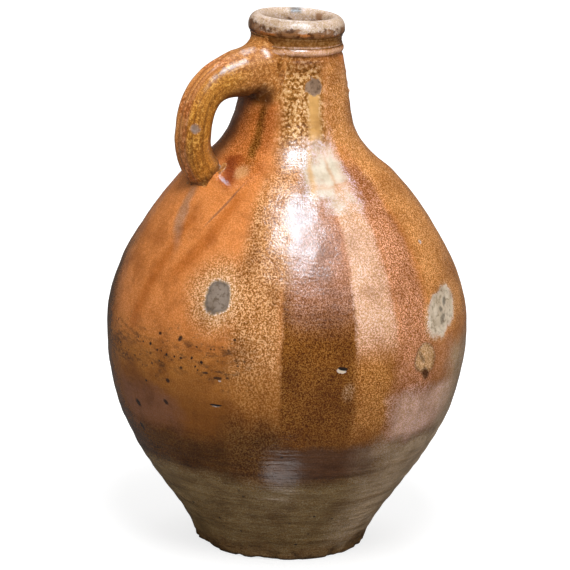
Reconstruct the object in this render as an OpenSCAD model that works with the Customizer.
// Stoneware jug of the bearded-mask kind. A thrown body with a narrow neck carries a pulled
// strap handle and a moulded mask, and a film of clay slip joins each of them to the body.
// Lengths are in millimetres. The origin is the middle of the base and +Z is up. The mask
// faces -Y and the handle stands out towards +Y.

/* [Body] */
// Height from the base to the top of the lip
jug_h = 340; // [325:1:360]
// Diameter of the base
foot_d = 109; // [98:1:120]
// Largest diameter, at the belly
belly_d = 229; // [210:1:250]
// Height of the largest diameter
belly_z = 141; // [128:1:154]
// Diameter where the shoulder turns up into the neck
shoulder_d = 116; // [106:1:126]
// Height where the shoulder turns up into the neck
shoulder_z = 246.5; // [238:0.5:255]
// Steepness of the shoulder at that turn, in degrees from level
shoulder_slope = 35.5; // [28:0.5:45]
// Diameter of the neck just under its cordon
neck_d = 59.2; // [55:0.2:64]
// Lean of the neck wall at its top, in degrees from upright
neck_lean = 10; // [5:0.5:14]

/* [Curve of the body] */
// How far the wall swings out as it leaves the foot
foot_swing = 7.7; // [4:0.1:14]
// How far the wall climbs as it leaves the foot
foot_climb = 33.5; // [20:0.5:45]
// Fullness of the belly below its widest line
belly_low = 75; // [55:1:90]
// Fullness of the belly above its widest line
belly_high = 46; // [30:1:60]
// Fullness of the shoulder
shoulder_full = 19; // [8:1:30]
// Length of the sweep from the shoulder into the neck
neck_sweep = 28; // [18:1:36]
// Length of the straight run at the top of the neck
neck_run = 37; // [24:1:44]

/* [Wall] */
// Thickness of the wall at the belly
wall_t = 7; // [5:0.5:9]
// Thickness of the wall just above the base
foot_wall_t = 10; // [8:0.5:13]
// Thickness of the floor
floor_t = 11; // [8:0.5:15]
// Radius of the bend from the floor to the wall inside
floor_bend = 12; // [6:1:18]
// Height of the rounded edge round the base
foot_edge = 1.6; // [0.8:0.1:3]
// Width of the flat ring that the jug stands on
ring_w = 17; // [12:1:24]
// Depth of the shallow hollow inside that ring
base_hollow = 1.6; // [0.6:0.1:3]

/* [Rim] */
// Bore of the mouth, where a cork seats
mouth_d = 42; // [37:0.5:46]
// Straight length of that bore
mouth_len = 32; // [22:1:40]
// Diameter of the waist between the collar and the cordon
waist_d = 57; // [54:0.5:60]
// Height of the waist
waist_h = 6.6; // [5:0.2:9]
// Height of the collar round the lip
collar_h = 11; // [9:0.5:14]
// How far the collar stands out from the waist
collar_out = 1.8; // [1:0.1:3]
// Height of the cordon round the top of the neck
cordon_h = 4.6; // [3.4:0.2:6]
// How far the cordon stands out from the waist
cordon_out = 1.4; // [0.8:0.1:2.4]
// Height of the groove under the cordon
groove_h = 1.2; // [0.8:0.1:2]
// Radius of the two fine beads at the ends of the waist
bead_r = 0.55; // [0.3:0.05:0.8]

/* [Handle] */
// Width of the handle, across its ribs
handle_w = 22.5; // [19:0.5:26]
// Thickness of the handle
handle_t = 21; // [18:0.5:24]
// Depth of the two finger-drawn grooves along its back
rib_depth = 1.3; // [0.6:0.1:2]
// How far the handle's back stands from the axis of the jug
handle_reach = 83; // [77:0.5:90]
// How far the middle of the upper end lies below the collar
root_drop = 22; // [19:0.5:25]
// Width of the upper end, where it spreads on the neck
root_w = 35.5; // [30:0.5:40]
// Height of the upper end
root_h = 34; // [29:0.5:36]
// How far down the handle reaches furthest out, as a share of the height between its two ends
bow_drop = 0.605; // [0.55:0.005:0.67]
// How far outside the neck's turn the lower end lands
foot_out = 6; // [3:0.5:9]
// Width of the lower end, where it spreads on the shoulder
heel_w = 27; // [23:0.5:32]
// Length of the lower end, measured out from the axis
heel_l = 15; // [12:0.5:18]

/* [Mask] */
// Width of the mask, round the neck
mask_w = 30; // [25:1:37]
// Height of the mask
mask_h = 46; // [40:1:52]
// Distance from the cordon's groove down to the mask
mask_drop = 3; // [2:0.5:6]
// Thickness of the mask at its edge
mask_edge = 0.7; // [0.6:0.1:1.6]
// How far the mask swells in its middle
mask_swell = 2.6; // [1.8:0.1:4]
// How far the nose stands out from the face
nose_out = 2.6; // [1.8:0.1:3.9]
// How far the brows, cheeks, moustache and lip stand out
feature_out = 1.1; // [0.6:0.1:1.9]
// How far the locks of hair and beard stand out
lock_out = 0.4; // [0.2:0.05:0.5]

/* [Slip] */
// Room for the slip between the body and what is stuck on it
slip_room = 0.7; // [0.6:0.05:1.2]
// Gap left on each side of the slip
slip_gap = 0.15; // [0.12:0.01:0.2]

/* [Hidden] */
$fn = 120;

// Steps along each curve and round each ring
foot_steps = 18;
belly_steps = 16;
neck_steps = 18;
arc_steps = 6;
handle_steps = 30;
seat_steps = 6;
handle_sides = 36;
mask_steps = 24;
locks = 36;
mask_sides = 2 * locks;

// Colours of the fired clay and of the slip
body_colour = [0.60, 0.39, 0.18];
handle_colour = [0.66, 0.44, 0.19];
mask_colour = [0.56, 0.36, 0.17];
slip_colour = [0.33, 0.20, 0.10];

// Radii and levels of the body
foot_r = foot_d / 2;
belly_r = belly_d / 2;
shoulder_r = shoulder_d / 2;
neck_r = neck_d / 2;
waist_r = waist_d / 2;
mouth_r = mouth_d / 2;
collar_z = jug_h - collar_h;
cordon_z = collar_z - waist_h;
cordon_foot_z = cordon_z - cordon_h;
neck_z = cordon_foot_z - groove_h;
collar_r = waist_r + collar_out;

// Shares of the collar's height taken by its lower round, its upper round and the lip inside
collar_low = 0.3;
collar_high = 0.55;
lip_inside = 0.4;
lip_r = mouth_r + (collar_r - mouth_r) / 2;
bore_top_z = jug_h - lip_inside * collar_h;
bore_foot_z = bore_top_z - mouth_len;
// How far under the bore the inner wall begins to spread
throat_h = 5;

// Curves
function bezier(p, t) =
    pow(1 - t, 3) * p[0] + 3 * pow(1 - t, 2) * t * p[1] + 3 * (1 - t) * t * t * p[2] + pow(t, 3) * p[3];
function curve(p, steps) = [for (i = [0:steps]) bezier(p, i / steps)];
function ellipse_arc(c, rx, rz, from, to, steps = arc_steps) =
    [for (i = [0:steps]) let (a = from + (to - from) * i / steps) c + [rx * cos(a), rz * sin(a)]];
function tail(list) = [for (i = [1:len(list) - 1]) list[i]];
function reversed(list) = [for (i = [len(list) - 1:-1:0]) list[i]];
function unit(v) = v / norm(v);
function smooth(from, to, x) =
    let (s = max(0, min(1, (x - from) / (to - from)))) s * s * (3 - 2 * s);
function power(x, p) = sign(x) * pow(abs(x), p);

// Outer wall, from the foot to the neck, as radius and height
turn_dir = [-cos(shoulder_slope), sin(shoulder_slope)];
turn_at = [shoulder_r, shoulder_z];
foot_curve = curve([
    [foot_r, foot_edge],
    [foot_r + foot_swing, foot_climb],
    [belly_r, belly_z - belly_low],
    [belly_r, belly_z]
], foot_steps);
belly_curve = curve([
    [belly_r, belly_z],
    [belly_r, belly_z + belly_high],
    turn_at - shoulder_full * turn_dir,
    turn_at
], belly_steps);
neck_curve = curve([
    turn_at,
    turn_at + neck_sweep * turn_dir,
    [neck_r + neck_run * tan(neck_lean), neck_z - neck_run],
    [neck_r, neck_z]
], neck_steps);
outer_wall = concat(foot_curve, tail(belly_curve), tail(neck_curve));

// Cordon, waist with its beads, and collar
function bead(z) = ellipse_arc([waist_r, z], bead_r, bead_r, -90, 90);
rim_outside = concat(
    ellipse_arc([waist_r, cordon_z - cordon_h / 2], cordon_out, cordon_h / 2, -90, 90),
    bead(cordon_z + 1.5 * bead_r),
    bead(collar_z - 1.5 * bead_r),
    ellipse_arc([waist_r, collar_z + collar_low * collar_h], collar_out, collar_low * collar_h, -90, 0),
    ellipse_arc(
        [lip_r, jug_h - collar_high * collar_h], collar_r - lip_r, collar_high * collar_h, 0, 90
    )
);
rim_inside = tail(ellipse_arc([lip_r, bore_top_z], lip_r - mouth_r, jug_h - bore_top_z, 90, 180));

// Inner wall: the outer wall moved in by a thickness that grows to the foot and to the mouth
top_wall_t = neck_r - mouth_r;
function inward(i) =
    let (d = unit(outer_wall[min(i + 1, len(outer_wall) - 1)] - outer_wall[max(i - 1, 0)]))
    [-d[1], d[0]];
function thickness(i) =
    i < foot_steps ? foot_wall_t + (wall_t - foot_wall_t) * i / foot_steps :
    let (above = i - foot_steps - belly_steps)
    above < 0 ? wall_t : wall_t + (top_wall_t - wall_t) * above / neck_steps;
inner_wall = [
    for (i = [0:len(outer_wall) - 1])
    let (p = outer_wall[i] + thickness(i) * inward(i))
    if (p[1] > floor_t + floor_bend && p[1] < bore_foot_z - throat_h && p[0] > mouth_r) p
];
floor_corner = [inner_wall[0][0] - floor_bend / 3, floor_t];
floor_curve = curve([
    inner_wall[0],
    inner_wall[0] - floor_bend / 2 * unit(inner_wall[1] - inner_wall[0]),
    floor_corner,
    floor_corner - [floor_bend, 0]
], arc_steps);

// Underside: a flat ring with a shallow hollow inside it
hollow_r = foot_r - foot_edge - ring_w;
underside = [[0, base_hollow], [hollow_r, 0], [foot_r - foot_edge, 0]];

body_outline = concat(
    underside, outer_wall, rim_outside, rim_inside,
    [[mouth_r, bore_foot_z]],
    reversed(inner_wall), tail(floor_curve), [[0, floor_t]]
);

// Radius of the body at a height, and height of the shoulder at a radius
outside = [for (p = concat(outer_wall, rim_outside)) [p[1], p[0]]];
shoulder = concat(belly_curve, tail(neck_curve));
function outer_r(z) = lookup(z, outside);
function shoulder_h(r) = lookup(r, shoulder);
function outward(z) = let (d = outer_r(z + 1) - outer_r(z - 1)) unit([2, -d]);

// A closed skin over rings of points, from a first point to a last one
module loft(first, rings, last) {
    sides = len(rings[0]);
    points = concat([first], [for (ring = rings, p = ring) p], [last]);
    end = len(points) - 1;
    function at(i, j) = 1 + i * sides + j % sides;
    faces = concat(
        [for (j = [0:sides - 1]) [0, at(0, j + 1), at(0, j)]],
        [for (i = [0:len(rings) - 2], j = [0:sides - 1]) [at(i, j), at(i, j + 1), at(i + 1, j + 1)]],
        [for (i = [0:len(rings) - 2], j = [0:sides - 1]) [at(i, j), at(i + 1, j + 1), at(i + 1, j)]],
        [for (j = [0:sides - 1]) [end, at(len(rings) - 1, j), at(len(rings) - 1, j + 1)]]
    );
    polyhedron(points, faces);
}

// Handle: its path in the plane of the axis, as radius and height
root_z = collar_z - root_drop;
root_r = outer_r(root_z);
heel_r = shoulder_r + foot_out;
heel_at = [heel_r, shoulder_h(heel_r) + slip_room];
bow_at = [handle_reach - handle_t / 2, root_z - bow_drop * (root_z - heel_at[1])];
// Fall of the path as it leaves the neck, and its lean as it meets the shoulder
root_fall = 6;
heel_lean = 48;
// Lengths over which the path bends out of the neck, into the bow, out of it and to the heel,
// as shares of the reach from the neck to the bow and of the heights above and below the bow
root_bend = 0.63 * (bow_at[0] - root_r);
bow_bend_above = 0.81 * (root_z - bow_at[1]);
bow_bend_below = 0.48 * (bow_at[1] - heel_at[1]);
heel_bend = 0.3 * (bow_at[1] - heel_at[1]);
upper_path = [
    [root_r, root_z],
    [root_r, root_z] + root_bend * [cos(root_fall), -sin(root_fall)],
    bow_at + [0, bow_bend_above],
    bow_at
];
lower_path = [
    bow_at,
    bow_at - [0, bow_bend_below],
    heel_at + heel_bend * [sin(heel_lean), cos(heel_lean)],
    heel_at
];
function path(t) = t < 0.5 ? bezier(upper_path, 2 * t) : bezier(lower_path, 2 * t - 1);
function path_dir(t) = unit(path(min(1, t + 0.005)) - path(max(0, t - 0.005)));

// Section of the handle: a rounded oblong with two grooves along its back
corner = 2.5;
groove_at = 0.4;
groove_wide = 0.2;
function section(half_w, half_t, depth) = [
    for (j = [0:handle_sides - 1])
    let (
        a = 360 * j / handle_sides,
        x = power(cos(a), 2 / corner),
        y = power(sin(a), 2 / corner),
        cut = y > 0 ? depth * exp(-pow((abs(x) - groove_at) / groove_wide, 2)) : 0
    )
    [half_w * x, half_t * y - cut]
];

// Share of the path over which the ends spread, and the stretch clear of the two seats
root_spread = 0.35;
heel_spread = 0.26;
free_from = 0.07;
free_to = 0.94;
function spread(t, at_root, at_heel) =
    at_root * pow(max(0, 1 - t / root_spread), 2) + at_heel * pow(max(0, (t - 1) / heel_spread + 1), 2);
function handle_ring(t) =
    let (
        c = path(t),
        d = path_dir(t),
        half_w = handle_w / 2 + spread(t, root_w - handle_w, heel_w - handle_w) / 2,
        half_t = handle_t / 2 + spread(t, root_h - handle_t, 0) / 2
    )
    [for (p = section(half_w, half_t, rib_depth)) [p[0], c[0] - d[1] * p[1], c[1] + d[0] * p[1]]];

// Seats of the handle: prints on the neck and on the shoulder, at a distance from the body.
// The upper seat bridges the cordon, the beads and the grooves between them.
seat_bridge = 3;
function seat_r(z) = max([for (step = [-1:0.5:1]) outer_r(z + step * seat_bridge)]);
function neck_point(x, z, gap) = [x, sqrt(pow(seat_r(z) + gap, 2) - x * x), z];
function root_print(share, gap) =
    [for (p = section(root_w / 2, root_h / 2, 0)) neck_point(share * p[0], root_z + share * p[1], gap)];
function shoulder_point(x, y, gap) = [x, y, shoulder_h(norm([x, y])) + gap];
function heel_print(share, gap) = [
    for (p = section(heel_w / 2, heel_l / 2, 0))
    shoulder_point(share * p[0], heel_r + share * p[1], gap)
];
seat_shares = [for (i = [1:seat_steps]) i / seat_steps];
near_gap = slip_gap;
far_gap = slip_room - slip_gap;

// Mask: places on it run from -1 to 1 across and up, and its rings spread from the nose
mask_z = neck_z - mask_drop - mask_h / 2;
nose_z = 0.14;
brow_share = 0.92;
outline_power = 2.6;
function mask_edge_at(a) =
    let (
        half_w = (1 + brow_share) / 2 - (1 - brow_share) / 2 * sin(a),
        half_h = sin(a) > 0 ? 1 - nose_z : 1 + nose_z
    )
    pow(pow(abs(cos(a)) / half_w, outline_power) + pow(abs(sin(a)) / half_h, outline_power), -1 / outline_power);
function mask_place(share, a) = [0, nose_z] + share * mask_edge_at(a) * [cos(a), sin(a)];
function bump(p, at, size) = exp(-pow((p[0] - at[0]) / size[0], 2) - pow((p[1] - at[1]) / size[1], 2));

// Features of the face, as a height over the swell of the mask
function nose(p) =
    let (side = 0.10 + 0.05 * smooth(0.40, 0.16, p[1]))
    exp(-pow(p[0] / side, 2)) * (0.35 + 0.65 * smooth(0.50, 0.18, p[1]))
    * smooth(0.05, 0.13, p[1]) * smooth(0.58, 0.46, p[1]);
function face(p) =
    let (q = [abs(p[0]), p[1]], droop = [abs(p[0]), p[1] + 0.3 * abs(p[0])])
    bump(q, [0.32, 0.52], [0.24, 0.08])
    - bump(q, [0.34, 0.40], [0.20, 0.09])
    + 1.1 * bump(q, [0.34, 0.385], [0.13, 0.055])
    + 0.5 * bump(q, [0.15, 0.15], [0.08, 0.06])
    + 0.8 * bump(q, [0.48, 0.20], [0.22, 0.14])
    + bump(droop, [0.26, 0.09], [0.26, 0.06])
    - 0.7 * bump(p, [0, -0.06], [0.20, 0.03])
    + 0.7 * bump(p, [0, -0.125], [0.15, 0.045]);
function hair(share, a) =
    smooth(0.34, 0.5, share) * smooth(0.3, 0.0, sin(a)) + smooth(0.72, 0.84, share) * smooth(0.3, 0.6, sin(a));
function relief(share, a) =
    let (p = mask_place(share, a), inner = 1 - pow(share, 8))
    mask_edge + mask_swell * (1 + cos(180 * share)) / 2 + inner * (nose_out * nose(p) + feature_out * face(p))
    + lock_out * cos(locks * a) * hair(share, a);

// A place on the mask at a height over the body
function mask_point(p, height) =
    let (
        z = mask_z + p[1] * mask_h / 2,
        turn = p[0] * mask_w / 2 / outer_r(z) * 180 / PI,
        at = [outer_r(z), z] + height * outward(z)
    )
    [-at[0] * sin(turn), -at[0] * cos(turn), at[1]];
function mask_angle(j) = 360 * j / mask_sides;
function mask_back(share, gap) =
    [for (j = [0:mask_sides - 1]) mask_point(mask_place(share, mask_angle(j)), gap)];
function mask_front(share) = [
    for (j = [0:mask_sides - 1])
    let (a = mask_angle(j))
    mask_point(mask_place(share, a), slip_room + relief(share, a))
];
mask_shares = [for (i = [mask_steps:-1:1]) i / mask_steps];

// The thrown body with its cordon, collar and bore
module vessel_body() {
    color(body_colour)
    rotate_extrude() polygon(body_outline);
}

// The pulled handle, spread out on the neck and on the shoulder
module handle() {
    color(handle_colour)
    loft(
        neck_point(0, root_z, slip_room),
        concat(
            [for (s = seat_shares) root_print(s, slip_room)],
            [for (i = [0:handle_steps]) handle_ring(free_from + (free_to - free_from) * i / handle_steps)],
            [for (s = reversed(seat_shares)) heel_print(s, slip_room)]
        ),
        shoulder_point(0, heel_r, slip_room)
    );
}

// The moulded mask with its face, hair and beard
module beard_mask() {
    color(mask_colour)
    loft(
        mask_point([0, nose_z], slip_room),
        concat([for (s = seat_shares) mask_back(s, slip_room)], [for (s = mask_shares) mask_front(s)]),
        mask_point([0, nose_z], slip_room + relief(0, 0))
    );
}

// The slip under the handle's upper end
module upper_handle_slip() {
    color(slip_colour)
    loft(
        neck_point(0, root_z, near_gap),
        concat(
            [for (s = seat_shares) root_print(s, near_gap)],
            [for (s = reversed(seat_shares)) root_print(s, far_gap)]
        ),
        neck_point(0, root_z, far_gap)
    );
}

// The slip under the handle's lower end
module lower_handle_slip() {
    color(slip_colour)
    loft(
        shoulder_point(0, heel_r, far_gap),
        concat(
            [for (s = seat_shares) heel_print(s, far_gap)],
            [for (s = reversed(seat_shares)) heel_print(s, near_gap)]
        ),
        shoulder_point(0, heel_r, near_gap)
    );
}

// The slip under the mask
module mask_slip() {
    color(slip_colour)
    loft(
        mask_point([0, nose_z], near_gap),
        concat(
            [for (s = seat_shares) mask_back(s, near_gap)],
            [for (s = reversed(seat_shares)) mask_back(s, far_gap)]
        ),
        mask_point([0, nose_z], far_gap)
    );
}

vessel_body();
handle();
beard_mask();
upper_handle_slip();
lower_handle_slip();
mask_slip();
